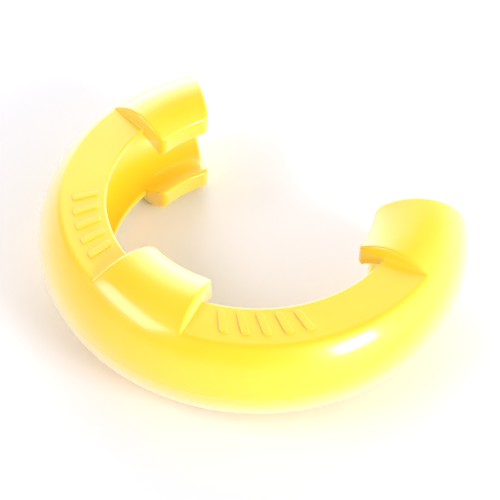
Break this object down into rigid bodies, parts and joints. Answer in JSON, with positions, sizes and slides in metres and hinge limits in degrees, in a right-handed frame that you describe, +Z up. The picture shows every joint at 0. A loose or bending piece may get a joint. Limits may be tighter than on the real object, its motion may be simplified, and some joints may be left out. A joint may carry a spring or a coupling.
{
  "type": "shackle isolator ring",
  "caption": "C-shaped ring of moulded urethane whose channel snaps round a shackle's bow on paired flexible jaws, to stop it rattling and scratching.",
  "frame": {"origin": "middle of the ring's footprint, on the surface it lies on", "axes": "+X to the right arm, +Y to the ring's opening (the crown is towards -Y), +Z up through the ring's hole"},
  "size_m": [0.1062, 0.0832, 0.0296],
  "materials": {
    "yellow_urethane": "glossy, slightly translucent lemon yellow moulded polyurethane, smooth with a faint parting line"
  },
  "bodies": {
    "crown": {"crown_shell": "yellow_urethane"},
    "upper_middle_jaw": {"upper_middle_jaw": "yellow_urethane"},
    "lower_middle_jaw": {"lower_middle_jaw": "yellow_urethane"},
    "left_arm": {"left_arm_shell": "yellow_urethane"},
    "upper_left_jaw": {"upper_left_jaw": "yellow_urethane"},
    "lower_left_jaw": {"lower_left_jaw": "yellow_urethane"},
    "right_arm": {"right_arm_shell": "yellow_urethane"},
    "upper_right_jaw": {"upper_right_jaw": "yellow_urethane"},
    "lower_right_jaw": {"lower_right_jaw": "yellow_urethane"}
  },
  "joints": [
    {"name": "left_arm_spread", "type": "hinge", "parent": "crown", "child": "left_arm", "pos_m": [-0.01816, -0.03841, 0.0148], "axis": [0, 0, 1], "range_deg": [0, 8], "stiffness_Nm_per_rad": 3},
    {"name": "right_arm_spread", "type": "hinge", "parent": "crown", "child": "right_arm", "pos_m": [0.01816, -0.03841, 0.0148], "axis": [0, 0, -1], "range_deg": [0, 8], "stiffness_Nm_per_rad": 3},
    {"name": "upper_middle_jaw_flex", "type": "hinge", "parent": "crown", "child": "upper_middle_jaw", "pos_m": [0, -0.03491, 0.02724], "axis": [1, 0, 0], "range_deg": [0, 12], "stiffness_Nm_per_rad": 0.65},
    {"name": "lower_middle_jaw_flex", "type": "hinge", "parent": "crown", "child": "lower_middle_jaw", "pos_m": [0, -0.03491, 0.00236], "axis": [-1, 0, 0], "range_deg": [0, 12], "stiffness_Nm_per_rad": 0.65},
    {"name": "upper_left_jaw_flex", "type": "hinge", "parent": "left_arm", "child": "upper_left_jaw", "pos_m": [-0.04392, 0.02644, 0.02724], "axis": [-0.3223, -0.9466, 0], "range_deg": [0, 12], "stiffness_Nm_per_rad": 0.65},
    {"name": "lower_left_jaw_flex", "type": "hinge", "parent": "left_arm", "child": "lower_left_jaw", "pos_m": [-0.04392, 0.02644, 0.00236], "axis": [0.3223, 0.9466, 0], "range_deg": [0, 12], "stiffness_Nm_per_rad": 0.65},
    {"name": "upper_right_jaw_flex", "type": "hinge", "parent": "right_arm", "child": "upper_right_jaw", "pos_m": [0.04392, 0.02644, 0.02724], "axis": [-0.3223, 0.9466, 0], "range_deg": [0, 12], "stiffness_Nm_per_rad": 0.65},
    {"name": "lower_right_jaw_flex", "type": "hinge", "parent": "right_arm", "child": "lower_right_jaw", "pos_m": [0.04392, 0.02644, 0.00236], "axis": [0.3223, -0.9466, 0], "range_deg": [0, 12], "stiffness_Nm_per_rad": 0.65}
  ]
}
